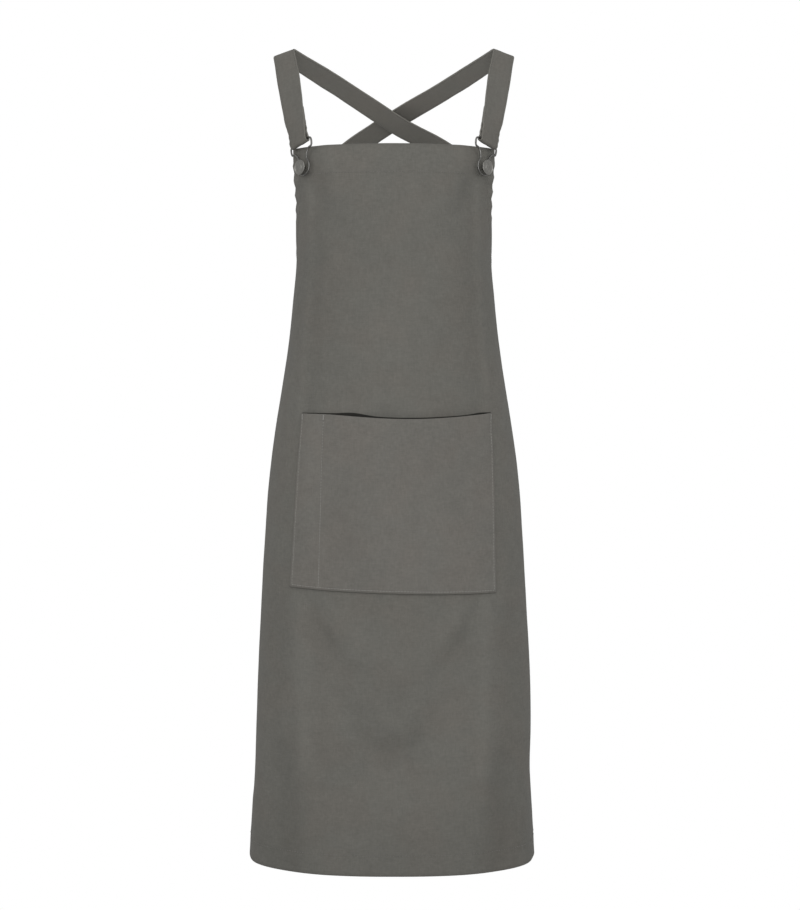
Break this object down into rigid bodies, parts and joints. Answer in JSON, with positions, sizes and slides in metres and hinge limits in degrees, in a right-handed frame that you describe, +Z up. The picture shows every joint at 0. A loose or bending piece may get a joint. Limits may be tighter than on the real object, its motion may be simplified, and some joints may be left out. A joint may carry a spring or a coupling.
{
  "type": "cross back apron",
  "caption": "Full-length canvas apron kept in its worn shape, with a bib, a wrap skirt, a patch pocket and straps that hook to bib buttons and cross behind.",
  "frame": {"origin": "midway between the tops of the two shoulder folds of the straps, where the apron hangs on the shoulders", "axes": "+Z up along the apron's height, -Y towards the bib and the pocket, +X towards strap_right"},
  "size_m": [0.355, 0.2663, 0.9953],
  "materials": {
    "canvas": "matte woven canvas, warm charcoal",
    "pocket_canvas": "matte woven canvas, warm charcoal",
    "strap_canvas": "matte woven canvas, doubled and edge-stitched",
    "hook_wire": "dark gunmetal plated wire, satin",
    "button_metal": "aged gunmetal, satin"
  },
  "bodies": {
    "root": {"apron_body": "canvas", "pocket": "pocket_canvas", "strap_left": "strap_canvas", "strap_right": "strap_canvas", "buckle_left": "hook_wire", "buckle_right": "hook_wire", "button_left": "button_metal", "button_right": "button_metal"}
  },
  "joints": []
}
